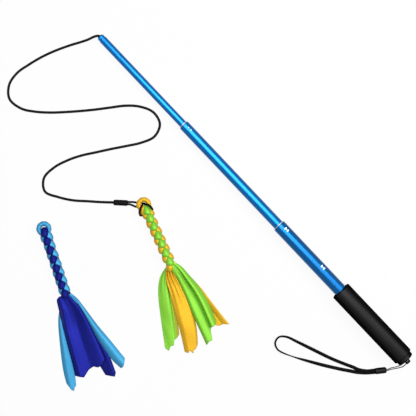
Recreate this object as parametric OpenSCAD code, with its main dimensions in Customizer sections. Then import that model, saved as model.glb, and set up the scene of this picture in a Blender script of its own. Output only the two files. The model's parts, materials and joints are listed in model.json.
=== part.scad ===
// Telescoping flirt pole for dogs: a foam grip with a wrist lanyard, three tubes that slide
// in each other, a bungee line, a plaited lure on the line and a spare lure beside it.
// The origin is the middle of the grip on the pole's axis, X runs to the tip, Z is up.

/* [Grip] */
// Length of the foam grip
grip_len = 136; // [110:1:170]
// Outside diameter of the foam grip
grip_d = 31; // [27:0.5:36]
// Rounding of the grip's end edges
grip_round = 1.2; // [0.6:0.2:3]

/* [End cap] */
// Diameter of the cap's flange
cap_d = 26; // [22:0.5:27]
// Thickness of the cap's flange
cap_t = 6.5; // [5:0.5:9]
// Rounding of the flange's outer edge
cap_round = 2; // [0.5:0.5:3]
// Length of the plug inside the outer tube
plug_len = 22; // [12:1:40]
// Diameter of the nub that holds the lanyard
nub_d = 8; // [7:0.5:10]
// How far the nub stands out from the flange
nub_len = 6; // [5:0.5:8]
// Rounding of the nub's end
nub_round = 1.5; // [0.5:0.1:2]
// Diameter of the lanyard hole through the nub
hole_d = 3; // [2.4:0.1:3.2]
// Wall between the flange and the lanyard hole
hole_wall = 1.1; // [0.8:0.1:1.3]

/* [Tubes] */
// Outside diameter of the outer tube
outer_d = 20; // [19:0.5:24]
// Wall of the outer tube
outer_wall = 1; // [0.6:0.1:1.3]
// Bare length of the outer tube in front of the grip
outer_bare = 134; // [110:1:180]
// Outside diameter of the middle tube
middle_d = 16; // [13.5:0.5:16.5]
// Wall of the middle tube
middle_wall = 0.9; // [0.6:0.1:1.2]
// Bare length of the middle tube, pulled out
middle_bare = 208; // [150:1:230]
// Outside diameter of the tip tube
tip_d = 12; // [10:0.5:12.5]
// Wall of the tip tube
tip_wall = 0.8; // [0.6:0.1:1.2]
// Bare length of the tip tube, pulled out
tip_bare = 177; // [140:1:200]
// Length of each inner tube that stays inside the next one, pulled out
overlap_len = 38; // [34:1:60]

/* [Mouths and shims] */
// Rounding of a rolled tube mouth
mouth_round = 1.3; // [0.8:0.1:1.4]
// Thickness of the rolled lip along the axis
lip_t = 1.2; // [0.8:0.1:2]
// Length of a mouth ring's flange behind the lip
ring_flange_len = 3; // [2:0.5:5]
// How far a mouth ring shows in front of the mouth
ring_show = 1.2; // [0.8:0.1:2]
// Length of the friction shims
shim_len = 22; // [14:1:26]
// Width of the slit between two half shims
shim_slit = 2; // [1:0.5:4]
// Diameter of the pegs that lock the shims in their tube
peg_d = 2.4; // [1.6:0.1:3]

/* [Tip] */
// Length of the ferrule's head in front of the tube
ferrule_len = 6; // [4:0.5:10]
// How much smaller the ferrule's head is than the tube, all round
ferrule_step = 0.5; // [0.2:0.1:0.8]
// Depth of the groove between tube and ferrule head
groove_depth = 0.4; // [0.2:0.1:0.8]
// Length of the ferrule's plug inside the tip tube
ferrule_plug = 14; // [8:1:20]
// Rounding of the ferrule's front edge
ferrule_round = 1.2; // [0.4:0.1:1.5]
// Wall of the grommet round the line
grommet_wall = 1; // [0.6:0.1:1.2]
// Length of the grommet inside the ferrule
grommet_len = 9; // [5:1:12]
// Thickness of the grommet's front collar
grommet_collar = 1.2; // [0.8:0.1:2]
// Diameter of the stopper knot inside the tube
knot_d = 8; // [7:0.2:9]

/* [Line] */
// Diameter of the bungee line
line_d = 3.5; // [2.5:0.1:4]
// Diameter of the whipped sleeve on the line
whip_d = 9; // [8:0.2:11]
// Length of the whipped sleeve
whip_len = 22; // [16:1:30]
// Turns of the whipping
whip_turns = 9; // [6:1:14]
// Diameter of the hitch loop's cord
loop_d = 3.2; // [2.6:0.1:3.3]

/* [Lanyard] */
// Diameter of the lanyard's string
string_d = 1.2; // [0.8:0.1:1.4]
// Diameter of the lanyard's sleeve
cuff_d = 9.2; // [8:0.2:12]
// Length of the lanyard's sleeve
cuff_len = 17; // [12:1:24]
// Width of the wrist strap's webbing
strap_w = 5.5; // [4:0.5:6.5]
// Thickness of the wrist strap's webbing
strap_t = 1.2; // [0.8:0.1:1.4]

/* [Lures] */
// Diameter of a plait
plait_d = 16.6; // [15:0.2:18]
// Length of one bump of a plait
bump_len = 13.9; // [11:0.1:17]
// Depth of the dips between two bumps
bump_dip = 1.8; // [0.8:0.1:2.4]
// Length from the lure's eye to the end of its plait
lure_plait = 100; // [80:1:120]
// Length from the spare lure's eye to the end of its plait
spare_plait = 108; // [80:1:130]
// Radius of an eye, to the middle of its cord
eye_r = 7.6; // [7.4:0.1:8.5]
// Diameter of the cord of an eye
eye_d = 7.6; // [6:0.2:7.8]
// Thickness of the tails' cloth
cloth_t = 1.2; // [0.8:0.1:1.4]

/* [Fits] */
// Running clearance of the sliding tubes, all round
run_fit = 0.05; // [0.02:0.01:0.1]
// Clearance of pieces that are pressed together, all round
seat_fit = 0.02; // [0.01:0.01:0.05]
// Room between soft pieces and what they lie on
soft_gap = 0.3; // [0.2:0.05:0.5]

/* [Hidden] */
$fn = 64;

// Stations along the pole, and the radii at its fits
grip_end = grip_len / 2;
outer_mouth = grip_end + outer_bare;
middle_mouth = outer_mouth + middle_bare;
tip_front = middle_mouth + tip_bare;
ferrule_front = tip_front + ferrule_len;
outer_bore = outer_d / 2 - outer_wall;
middle_bore = middle_d / 2 - middle_wall;
tip_bore = tip_d / 2 - tip_wall;
cap_back = -grip_end - cap_t;
hole_x = cap_back - hole_wall - hole_d / 2;
line_bore = line_d / 2 + seat_fit;
grommet_r = line_bore + grommet_wall;

// The pole leans on the front of the grip and on the front of the tip tube
lean_x = grip_end - grip_round;
pole_tilt = atan((grip_d - tip_d) / 2 / (tip_front - lean_x));
floor_z = -lean_x * sin(pole_tilt) - grip_d / 2 * cos(pole_tilt);

// Places of the two lures on the floor, and their turns
lure_at = [364, 126];
lure_turn = 161;
spare_at = [441, 260];
spare_turn = 155;

// Length of the straight ends of cords at their sleeves
lead = 3;

// Small helpers for points
function unit(v) = v / norm(v);
function pole_point(x, z) = [x * cos(pole_tilt) + z * sin(pole_tilt), 0,
    z * cos(pole_tilt) - x * sin(pole_tilt)];
function placed(p, at, turn) = [at.x + p.x * cos(turn) - p.y * sin(turn),
    at.y + p.x * sin(turn) + p.y * cos(turn), floor_z + p.z];
function arc3(a, b, c, s) = a * (1 - s) * (1 - s) + 2 * b * s * (1 - s) + c * s * s;
function spline(a, b, c, d, t) = b + (c - a) * t / 2 + (2 * a - 5 * b + 4 * c - d) * t * t / 2
    + (3 * b - a - 3 * c + d) * t * t * t / 2;
function smooth(p, steps) = [
    for (i = [0 : len(p) - 2], j = [0 : steps - 1])
        spline(p[max(i - 1, 0)], p[i], p[i + 1], p[min(i + 2, len(p) - 1)], j / steps),
    p[len(p) - 1]];
function with_ends(p, steps) = concat([p[0]],
    smooth([for (i = [1 : len(p) - 2]) p[i]], steps), [p[len(p) - 1]]);
function heading(p, i) = unit(p[min(i + 1, len(p) - 1)] - p[max(i - 1, 0)]);
function across(v, t) = unit(v - t * (v * t));
function quad(a, b, c, d) = [[a, b, c], [a, c, d]];
function side_vectors(p, first) = [
    for (i = 0, n = across(first, heading(p, 0)); i < len(p);
        i = i + 1, n = i < len(p) ? across(n, heading(p, i)) : n) n];

// Route of the line from the tip to the sleeve: x, y and height above lying flat, drawn for a
// pole whose line leaves it at route_exit
route_exit = 594.2;
line_route = [[603, 16.5, 1.4], [608, 27, 0.2], [616, 43, 0], [625, 64, 0], [632, 85, 0],
    [637, 107, 0], [640, 129, 0], [635, 150, 0], [619, 164, 0], [597, 161, 0], [579, 149, 0],
    [562, 133, 0], [547, 116, 0], [533, 99, 0], [519, 81, 0], [506, 63, 0], [492, 44, 0],
    [476, 29, 0], [456, 20, 0], [436, 25, 0], [428, 44, 0], [435, 65, 0], [447, 85, 0],
    [459, 104, 0], [471, 124, 0], [483, 144, 0], [492, 164, 0], [498, 186, 0], [497, 208, 0],
    [481, 221, 0], [461, 212, 0], [442, 199, 0], [426, 184, 0], [412, 171, 0.6]];
whip_start = [398, 157];
whip_dir = unit([-16, -15.5, 0]);
whip_h = whip_d / 2 + soft_gap / 2;
whip_a = [whip_start.x, whip_start.y, floor_z + whip_h];
whip_b = whip_a + whip_dir * whip_len;
line_lie = line_d / 2 + soft_gap / 2;
tip_exit = ferrule_front + grommet_collar;
line_points = concat(
    [pole_point(tip_front - ferrule_plug, 0), pole_point(tip_exit, 0)],
    [pole_point(tip_exit + 3, 0) + [0, 2.5, 0], pole_point(tip_exit + 6, -1) + [0, 8, 0]],
    [for (p = line_route) [p.x + tip_exit - route_exit, p.y, floor_z + line_lie + p.z]],
    [whip_a - whip_dir * lead, whip_a]);

// Route of the hitch loop: through the eye from below, round the neck and back
eye_h = plait_d / 2;
eye_out = eye_r + eye_d / 2;
loop_r = loop_d / 2;
loop_low = loop_r + soft_gap / 2;
loop_top = eye_h + eye_d / 2 + loop_r + 0.8;
neck_u = eye_out + loop_r + 0.7;
neck_left = eye_h + loop_r + 1.2;
neck_right = neck_left - 2.2;
strand_y = loop_r + soft_gap;
loop_half = [[-10.5, -13.5, loop_low + 1.2], [-7, -8, loop_low], [-3, -2, loop_low + 0.4],
    [-1, strand_y - 0.5, eye_h - 3.3], [-0.4, strand_y, eye_h], [0.2, strand_y + 0.3, eye_h + 3.5],
    [2.4, 5.6, loop_top + 0.2], [7, neck_right - 0.5, loop_top - 0.6],
    [neck_u - 2, neck_right, eye_h + 1], [neck_u, neck_right - 2, eye_h - 3.7],
    [neck_u, 4.4, loop_low + 0.2]];
loop_back = [[neck_u, -4.4, loop_low + 0.2], [neck_u, 2 - neck_left, eye_h - 3.7],
    [neck_u - 2, -neck_left - 0.3, eye_h + 1], [7, 1.2 - neck_left, loop_top - 0.8],
    [2.4, -5.5, loop_top], [0.6, -strand_y - 0.3, eye_h + 3.5], [0.4, -strand_y, eye_h],
    [0.3, -strand_y - 0.7, eye_h - 3.3], [-0.4, -6.5, loop_low + 0.3], [-2, -12, loop_low],
    [-6.5, -16.4, loop_low + 1.2]];
whip_side = cross(whip_dir, [0, 0, 1]) * (loop_r + soft_gap / 2);
loop_points = concat([whip_b - whip_side, whip_b - whip_side + whip_dir * lead],
    [for (p = loop_half) placed(p, lure_at, lure_turn)],
    [placed([neck_u, 0, loop_low], lure_at, lure_turn)],
    [for (p = loop_back) placed(p, lure_at, lure_turn)],
    [whip_b + whip_side + whip_dir * lead, whip_b + whip_side]);

// Route of the lanyard: the string through the nub, the sleeve and the strap's loop
cuff_a = [-68, 31.5, floor_z + cuff_d / 2 + soft_gap / 2];
cuff_dir = unit([10.4, 13.8, 0]);
cuff_b = cuff_a + cuff_dir * cuff_len;
cuff_side = cross(cuff_dir, [0, 0, 1]);
string_r = string_d / 2;
nub_top = nub_d / 2 + string_r + 0.7;
nub_mid = pole_point(hole_x, 0);
function by_nub(x, y, h) = nub_mid + [x, y, h];
string_side = cuff_side * (string_r + soft_gap / 2);
string_points = concat([cuff_a - string_side, cuff_a - string_side - cuff_dir * lead],
    [[-72, 25.6, floor_z + 6.4], [-75.4, 18.6, floor_z + 12]],
    [by_nub(-0.8, 11, 2), by_nub(-0.5, nub_d / 2 + 1.6, nub_top - 0.3), by_nub(0, 1.6, nub_top),
        by_nub(0, 0, nub_d / 2 - 0.4), by_nub(0, 0, 0), by_nub(0, 0, 0.4 - nub_d / 2),
        by_nub(0, 1.6, -nub_top), by_nub(0.5, nub_d / 2 + 1.6, -nub_top - 0.1),
        by_nub(0.8, 11, -7.5)],
    [[-74, 18, floor_z + 7], [-70.4, 24.6, floor_z + 5]],
    [cuff_a + string_side - cuff_dir * lead, cuff_a + string_side]);
// Points of the strap: x, y, its turn, 0 standing on edge and 90 lying flat, and its height above
// lying on the floor. Its two legs leave the sleeve flat, the first on top of the second.
strap_stack = strap_t + soft_gap;
strap_route = [[-49, 54.6, 90, strap_stack + 0.45], [-39, 62, 90, strap_stack], [-31, 65.2, 70, 0],
    [-18, 71.5, 65, 0], [2, 80.5, 65, 0], [30, 91, 65, 0], [56, 100.5, 50, 0], [71, 106.5, 20, 0],
    [79, 115, 0, 0], [77, 125, 0, 0], [68, 129.5, 0, 0], [57, 127, -20, 0], [40, 118.5, -50, 0],
    [28, 111.5, -60, 0], [4, 97, -65, 0], [-18, 82.5, -65, 0], [-32, 72.5, -70, 0],
    [-41, 66, -90, 0], [-50.4, 57, -90, 0.45]];
strap_up = [0, 0, strap_stack / 2];
strap_points = concat([cuff_b + strap_up, cuff_b + strap_up + cuff_dir * lead],
    [for (p = strap_route) [p[0], p[1], floor_z + soft_gap / 2 + p[3]
        + strap_w / 2 * abs(cos(p[2])) + strap_t / 2 * abs(sin(p[2]))]],
    [cuff_b - strap_up + cuff_dir * lead, cuff_b - strap_up]);
strap_turns = concat([90, 90], [for (p = strap_route) p[2]], [-90, -90]);

// The tails of the two lures. Each row holds the middle's y and height at the root, its bend and
// its end as measured from the plait's end, the widths at root, bend and end, the height at which
// it lies, the share of its length on which it settles, and its folds: how many, their height and
// phase; last comes the slant of the cut.
tail_lie = soft_gap / 2;
lure_left = [-6, 4, [25, -38], [107, -48], [7, 12, 30], tail_lie, 0.3, 2, 3, 180, -7];
lure_middle = [-2, 8, [50, -9], [129, -25], [7, 30, 23], tail_lie, 0.45, 1, 2.5, 0, -3];
lure_right = [6, 11, [50, 14], [119, 12.5], [8, 32, 29], 2.2, 0.55, 2, 4, 180, -12];
lure_under = [5, tail_lie, [40, 14], [113, 33], [6, 22, 20], tail_lie, 0.4, 1, 0.3, 0, 5];
spare_left = [-6, 3, [42, -32], [135, -35], [6, 6, 14], tail_lie, 0.4, 1, 1, 0, 6];
spare_front = [-3, 11, [52, -2], [114, 0], [18, 42, 51], 2.4, 0.5, 2, 4.5, 0, -5];
spare_back = [2, tail_lie, [52, 14], [133, 24], [8, 8, 17], tail_lie, 0.4, 1, 0.4, 0, -4];
spare_right = [6, 5, [52, 26], [124, 47.5], [6, 9.5, 13], tail_lie, 0.9, 1, 1.5, 0, 4];

// Turns what is drawn along Z to lie along the tilted pole
module along_pole() {
    rotate([0, pole_tilt, 0])
        rotate([0, 90, 0])
            children();
}

// A rod's half outline with a rounded front edge
module rod_outline(r, from, to, edge) {
    translate([0, from])
        square([r, to - from - edge]);
    translate([0, from])
        square([r - edge, to - from]);
    translate([r - edge, to - edge])
        circle(edge);
}

// Tube whose mouth is rolled in to a narrower opening
module rolled_tube(d, wall, from, to, mouth_r) {
    rotate_extrude()
        difference() {
            rod_outline(d / 2, from, to, mouth_round);
            translate([-1, from - 1])
                square([d / 2 - wall + 1, to - lip_t - from + 1]);
            translate([-1, to - lip_t - 1])
                square([mouth_r + 1, lip_t + 2]);
        }
}

// Radius of the rolled opening: the ring's sleeve fills half of the gap between two tubes
function mouth_opening(inner_d, bore) = inner_d / 2 + run_fit + (bore - inner_d / 2) / 2;

// Ring behind a rolled mouth that guides the inner tube
module mouth_ring(inner_d, bore, mouth) {
    back = mouth - lip_t - ring_flange_len;
    bore_r = inner_d / 2 + run_fit;
    rotate_extrude() {
        translate([bore_r, back])
            square([mouth_opening(inner_d, bore) - seat_fit - bore_r, mouth + ring_show - back]);
        translate([bore_r, back])
            square([bore - seat_fit - bore_r, ring_flange_len - seat_fit]);
    }
}

// Place of the shims on an inner tube, just behind the mouth ring
function shim_front(mouth) = mouth - lip_t - ring_flange_len - run_fit;

// Cross hole or pegs at the middle of the shims
module shim_pegs(d, mouth, out, inner) {
    for (side = [0, 180])
        rotate([0, 0, side])
            translate([0, inner, shim_front(mouth) - shim_len / 2])
                rotate([-90, 0, 0])
                    cylinder(h = out - inner, d = d);
}

// Two half shims round an inner tube, with pegs in the tube's holes
module friction_shims(inner_d, wall, bore, mouth) {
    front = shim_front(mouth);
    out = bore - run_fit;
    difference() {
        rotate_extrude()
            translate([inner_d / 2 + seat_fit, front - shim_len])
                square([out - inner_d / 2 - seat_fit, shim_len]);
        translate([-out - 1, -shim_slit / 2, front - shim_len - 1])
            cube([2 * out + 2, shim_slit, shim_len + 2]);
    }
    shim_pegs(peg_d, mouth, (out + inner_d / 2) / 2, inner_d / 2 - wall + 2 * seat_fit);
}

// Swept cord of eight sides
module cord(points, d, first) {
    sides = 8;
    last = len(points) - 1;
    normals = side_vectors(points, first);
    rings = [for (i = [0 : last], k = [0 : sides - 1])
        let (n = normals[i], b = cross(heading(points, i), n), a = 360 * k / sides)
            points[i] + d / 2 * (cos(a) * n + sin(a) * b)];
    function at(i, k) = i * sides + k % sides;
    walls = [for (i = [0 : last - 1], k = [0 : sides - 1])
        each quad(at(i, k), at(i + 1, k), at(i + 1, k + 1), at(i, k + 1))];
    ends = [for (k = [1 : sides - 2], f = [0, 1])
        f == 0 ? [at(0, 0), at(0, k), at(0, k + 1)]
            : [at(last, 0), at(last, k + 1), at(last, k)]];
    polyhedron(rings, concat(walls, ends));
}

// Swept webbing of a flat section that turns on its way
module webbing(points, turns, w, t) {
    last = len(points) - 1;
    corners = [[1, 1], [-1, 1], [-1, -1], [1, -1]];
    rings = [for (i = [0 : last], k = [0 : 3])
        let (h = heading(points, i), up = across([0, 0, 1], h), s = cross(h, up),
            flat = up * cos(turns[i]) + s * sin(turns[i]), thin = cross(h, flat))
            points[i] + corners[k].x * w / 2 * flat + corners[k].y * t / 2 * thin];
    function at(i, k) = i * 4 + k % 4;
    walls = [for (i = [0 : last - 1], k = [0 : 3])
        each quad(at(i, k), at(i + 1, k), at(i + 1, k + 1), at(i, k + 1))];
    near_end = quad(at(0, 0), at(0, 1), at(0, 2), at(0, 3));
    far_end = quad(at(last, 0), at(last, 3), at(last, 2), at(last, 1));
    polyhedron(rings, concat(walls, near_end, far_end));
}

// Puts a lure's own frame on the floor: X along the plait from the eye, Z up from the floor
module at_lure() {
    translate([lure_at.x, lure_at.y, floor_z])
        rotate([0, 0, lure_turn])
            children();
}
module at_spare() {
    translate([spare_at.x, spare_at.y, floor_z])
        rotate([0, 0, spare_turn])
            children();
}

// Ring of plaited cloth
module eye(extra) {
    translate([0, 0, eye_h])
        rotate_extrude()
            translate([eye_r, 0])
                circle(eye_d / 2 + extra);
}

// One of the four strands of a plait: a quarter of a bar that swells at each bump.
// Its side is 0 below, 90 to the right, 180 on top and 270 to the left.
module plait_strand(side, from, to, first) {
    swell = (bump_len * bump_len / 4 + bump_dip * bump_dip) / (2 * bump_dip);
    r = plait_d / 2 - soft_gap / 4;
    bumps = ceil((to - first) / bump_len) + 1;
    translate([0, 0, plait_d / 2])
        rotate([0, 90, 0])
            rotate([0, 0, side])
                intersection() {
                    rotate_extrude()
                        intersection() {
                            translate([0, from])
                                square([r + 1, to - from]);
                            for (k = [-1 : bumps])
                                intersection() {
                                    translate([r - swell, first + k * bump_len])
                                        circle(swell);
                                    translate([0, first + (k - 0.5) * bump_len - 0.05])
                                        square([r + 1, bump_len + 0.1]);
                                }
                        }
                    translate([0, 0, from - 1])
                        linear_extrude(to - from + 2)
                            polygon([[soft_gap / 1.5, 0], [soft_gap / 1.5 + 2 * r, -2 * r],
                                [soft_gap / 1.5 + 2 * r, 2 * r]]);
                }
}

// The strand on top starts over the eye's ring and lies close on it
module top_strand(to, first) {
    difference() {
        plait_strand(180, 3.4, to, first);
        eye(soft_gap / 2);
    }
}

// Strip of cloth that leaves the end of a plait, settles on the floor and lies in folds
module cloth_tail(start, tail) {
    root_y = tail[0];
    root_h = tail[1];
    bend = tail[2];
    end = tail[3];
    widths = tail[4];
    level = tail[5];
    settle = tail[6];
    folds = tail[7];
    fold_h = tail[8];
    phase = tail[9];
    slant = tail[10];
    nu = 14;
    nv = 8;
    function middle(s) = [start + soft_gap + arc3(0, bend.x, end.x, s),
        arc3(root_y, bend.y, end.y, s)];
    function along(s) = unit([bend.x * (1 - s) + (end.x - bend.x) * s,
        (bend.y - root_y) * (1 - s) + (end.y - bend.y) * s]);
    function sideways(s) = unit([0, 1 - s] + s * [-along(s).y, along(s).x]);
    function half_width(s) = arc3(widths[0], widths[1], widths[2], s) / 2;
    function flat_at(s, v) = middle(s) + sideways(s) * v * half_width(s)
        + along(s) * slant * v * s * s * s;
    function height(s, v) = level + (root_h - level) * pow(max(0, 1 - s / settle), 2)
        + fold_h * min(1, 0.4 + 3 * s) * (1 - v * v) * (0.5 + 0.5 * cos(180 * folds * v + phase));
    function point(s, v, up) = let (p = flat_at(s, v)) [p.x, p.y, height(s, v) + up];
    count = (nu + 1) * (nv + 1);
    points = [for (up = [cloth_t, 0], i = [0 : nu], j = [0 : nv])
        point(i / nu, 2 * j / nv - 1, up)];
    function top(i, j) = i * (nv + 1) + j;
    function low(i, j) = count + top(i, j);
    faces = concat(
        [for (i = [0 : nu - 1], j = [0 : nv - 1])
            each quad(top(i, j), top(i, j + 1), top(i + 1, j + 1), top(i + 1, j))],
        [for (i = [0 : nu - 1], j = [0 : nv - 1])
            each quad(low(i, j), low(i + 1, j), low(i + 1, j + 1), low(i, j + 1))],
        [for (i = [0 : nu - 1])
            each quad(low(i, 0), top(i, 0), top(i + 1, 0), low(i + 1, 0))],
        [for (i = [0 : nu - 1])
            each quad(low(i, nv), low(i + 1, nv), top(i + 1, nv), top(i, nv))],
        [for (j = [0 : nv - 1])
            each quad(low(0, j + 1), top(0, j + 1), top(0, j), low(0, j))],
        [for (j = [0 : nv - 1])
            each quad(low(nu, j), top(nu, j), top(nu, j + 1), low(nu, j + 1))]);
    polyhedron(points, faces);
}

// The handle
module outer_tube() {
    color([0.10, 0.35, 0.75])
        along_pole()
            rolled_tube(outer_d, outer_wall, -grip_end, outer_mouth,
                mouth_opening(middle_d, outer_bore));
}
module foam_grip() {
    color([0.08, 0.08, 0.09])
        along_pole()
            rotate_extrude()
                difference() {
                    union() {
                        rod_outline(grip_d / 2, 0, grip_end, grip_round);
                        mirror([0, 1])
                            rod_outline(grip_d / 2, 0, grip_end, grip_round);
                    }
                    translate([-1, -grip_end - 1])
                        square([outer_d / 2 + seat_fit + 1, grip_len + 2]);
                }
}
module end_cap() {
    color([0.05, 0.05, 0.06])
        along_pole()
            difference() {
                mirror([0, 0, 1])
                    rotate_extrude() {
                        translate([0, grip_end - plug_len])
                            square([outer_bore - seat_fit, plug_len + 0.5]);
                        rod_outline(cap_d / 2, grip_end, -cap_back, cap_round);
                        rod_outline(nub_d / 2, -cap_back - 1, nub_len - cap_back, nub_round);
                    }
                translate([0, 0, hole_x])
                    rotate([0, 90, 0])
                        cylinder(h = 2 * nub_d, d = hole_d, center = true);
            }
}
module outer_mouth_ring() {
    color([0.72, 0.76, 0.85])
        along_pole()
            mouth_ring(middle_d, outer_bore, outer_mouth);
}

// The middle section
module middle_tube() {
    color([0.12, 0.42, 0.82])
        along_pole()
            difference() {
                rolled_tube(middle_d, middle_wall, outer_mouth - overlap_len, middle_mouth,
                    mouth_opening(tip_d, middle_bore));
                shim_pegs(peg_d + 2 * seat_fit, outer_mouth, middle_d / 2 + 1, middle_bore - 1);
            }
}
module middle_shims() {
    color([0.85, 0.86, 0.86])
        along_pole()
            friction_shims(middle_d, middle_wall, outer_bore, outer_mouth);
}
module middle_mouth_ring() {
    color([0.72, 0.76, 0.85])
        along_pole()
            mouth_ring(tip_d, middle_bore, middle_mouth);
}

// The tip section
module tip_tube() {
    color([0.16, 0.50, 0.88])
        along_pole()
            difference() {
                rotate_extrude()
                    translate([tip_bore, middle_mouth - overlap_len])
                        square([tip_wall, tip_front - middle_mouth + overlap_len]);
                shim_pegs(peg_d + 2 * seat_fit, middle_mouth, tip_d / 2 + 1, tip_bore - 1);
            }
}
module tip_shims() {
    color([0.85, 0.86, 0.86])
        along_pole()
            friction_shims(tip_d, tip_wall, middle_bore, middle_mouth);
}
module tip_ferrule() {
    head_r = tip_d / 2 - ferrule_step;
    color([0.10, 0.40, 0.80])
        along_pole()
            rotate_extrude()
                difference() {
                    union() {
                        translate([0, tip_front - ferrule_plug])
                            square([tip_bore - seat_fit, ferrule_plug + 0.5]);
                        rod_outline(head_r, tip_front, ferrule_front, ferrule_round);
                    }
                    translate([head_r, tip_front + 1.4])
                        circle(groove_depth);
                    translate([-1, tip_front - ferrule_plug - 1])
                        square([grommet_r + seat_fit + 1, ferrule_plug + ferrule_len + 2]);
                }
}
module tip_grommet() {
    color([0.04, 0.04, 0.05])
        along_pole()
            rotate_extrude()
                difference() {
                    union() {
                        translate([0, ferrule_front - grommet_len])
                            square([grommet_r, grommet_len + 0.2]);
                        translate([0, ferrule_front])
                            square([grommet_r + grommet_wall, grommet_collar]);
                    }
                    translate([-1, ferrule_front - grommet_len - 1])
                        square([line_bore + 1, grommet_len + grommet_collar + 2]);
                }
}
module stopper_knot() {
    color([0.05, 0.05, 0.06])
        along_pole()
            rotate_extrude()
                rod_outline(knot_d / 2, tip_front - ferrule_plug - knot_d,
                    tip_front - ferrule_plug, knot_d / 8);
}
module bungee_line() {
    color([0.06, 0.06, 0.07])
        cord(with_ends(line_points, 2), line_d, [0, 0, 1]);
}
module whipped_sleeve() {
    turn = whip_len / whip_turns;
    color([0.05, 0.05, 0.06])
        translate(whip_a)
            rotate([0, 0, atan2(whip_dir.y, whip_dir.x)])
                rotate([0, 90, 0])
                    rotate_extrude() {
                        square([whip_d / 2 - turn / 4, whip_len]);
                        intersection() {
                            square([whip_d, whip_len]);
                            for (k = [0 : whip_turns - 1])
                                translate([whip_d / 2 - turn / 2, (k + 0.5) * turn])
                                    circle(turn / 2 + 0.02);
                        }
                    }
}
module hitch_loop() {
    color([0.06, 0.06, 0.07])
        cord(with_ends(loop_points, 2), loop_d, [0, 0, 1]);
}

// The lanyard
module lanyard_string() {
    color([0.05, 0.05, 0.06])
        cord(with_ends(string_points, 3), string_d, [1, 0, 0]);
}
module lanyard_sleeve() {
    color([0.06, 0.06, 0.07])
        translate(cuff_a)
            rotate([0, 0, atan2(cuff_dir.y, cuff_dir.x)])
                rotate([0, 90, 0])
                    rotate_extrude() {
                        rod_outline(cuff_d / 2, cuff_len / 2, cuff_len, cuff_d / 8);
                        translate([0, cuff_len])
                            mirror([0, 1])
                                rod_outline(cuff_d / 2, cuff_len / 2, cuff_len, cuff_d / 8);
                    }
}
module wrist_strap() {
    points = with_ends(strap_points, 3);
    turns = with_ends(strap_turns, 3);
    color([0.05, 0.05, 0.06])
        webbing(points, turns, strap_w, strap_t);
}

// The lure on the line
lure_first = 9.3;
lure_neck = neck_u + loop_r + soft_gap;
module lure_eye() {
    color([0.93, 0.68, 0.15])
        at_lure()
            eye(0);
}
module lure_plait_front() {
    color([0.45, 0.85, 0.25])
        at_lure()
            top_strand(lure_plait, lure_first);
}
module lure_plait_back() {
    color([0.40, 0.78, 0.22])
        at_lure()
            plait_strand(0, lure_neck, lure_plait, lure_first);
}
module lure_plait_left() {
    color([0.93, 0.68, 0.15])
        at_lure()
            plait_strand(270, lure_neck, lure_plait, lure_first + bump_len / 2);
}
module lure_plait_right() {
    color([0.93, 0.68, 0.15])
        at_lure()
            plait_strand(90, lure_neck, lure_plait, lure_first + bump_len / 2);
}
module lure_tail_left() {
    color([0.45, 0.85, 0.25])
        at_lure()
            cloth_tail(lure_plait, lure_left);
}
module lure_tail_middle() {
    color([0.93, 0.68, 0.15])
        at_lure()
            cloth_tail(lure_plait, lure_middle);
}
module lure_tail_right() {
    color([0.45, 0.85, 0.25])
        at_lure()
            cloth_tail(lure_plait, lure_right);
}
module lure_tail_under() {
    color([0.93, 0.68, 0.15])
        at_lure()
            cloth_tail(lure_plait, lure_under);
}

// The spare lure
spare_first = 3.7;
spare_neck = eye_out + soft_gap;
module spare_eye() {
    color([0.25, 0.62, 0.88])
        at_spare()
            eye(0);
}
module spare_plait_front() {
    color([0.13, 0.15, 0.52])
        at_spare()
            top_strand(spare_plait, spare_first);
}
module spare_plait_back() {
    color([0.13, 0.15, 0.52])
        at_spare()
            plait_strand(0, spare_neck, spare_plait, spare_first);
}
module spare_plait_left() {
    color([0.25, 0.62, 0.88])
        at_spare()
            plait_strand(270, spare_neck, spare_plait, spare_first + bump_len / 2);
}
module spare_plait_right() {
    color([0.25, 0.62, 0.88])
        at_spare()
            plait_strand(90, spare_neck, spare_plait, spare_first + bump_len / 2);
}
module spare_tail_left() {
    color([0.25, 0.62, 0.88])
        at_spare()
            cloth_tail(spare_plait, spare_left);
}
module spare_tail_front() {
    color([0.13, 0.15, 0.52])
        at_spare()
            cloth_tail(spare_plait, spare_front);
}
module spare_tail_back() {
    color([0.11, 0.12, 0.45])
        at_spare()
            cloth_tail(spare_plait, spare_back);
}
module spare_tail_right() {
    color([0.25, 0.62, 0.88])
        at_spare()
            cloth_tail(spare_plait, spare_right);
}

outer_tube();
foam_grip();
end_cap();
outer_mouth_ring();
middle_tube();
middle_shims();
middle_mouth_ring();
tip_tube();
tip_shims();
tip_ferrule();
tip_grommet();
stopper_knot();
bungee_line();
whipped_sleeve();
hitch_loop();
lanyard_string();
lanyard_sleeve();
wrist_strap();
lure_eye();
lure_plait_front();
lure_plait_back();
lure_plait_left();
lure_plait_right();
lure_tail_left();
lure_tail_middle();
lure_tail_right();
lure_tail_under();
spare_eye();
spare_plait_front();
spare_plait_back();
spare_plait_left();
spare_plait_right();
spare_tail_left();
spare_tail_front();
spare_tail_back();
spare_tail_right();
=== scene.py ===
"""Dresses a telescoping flirt pole for dogs: anodised tubes, a foam grip, a bungee line, a wrist
lanyard and two plaited cloth lures, laid on a white studio floor and seen from straight above."""

import json
import math

import bmesh
import bpy
from bpy.props import FloatProperty, FloatVectorProperty, IntProperty, PointerProperty
from mathutils import Matrix, Vector, noise


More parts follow.
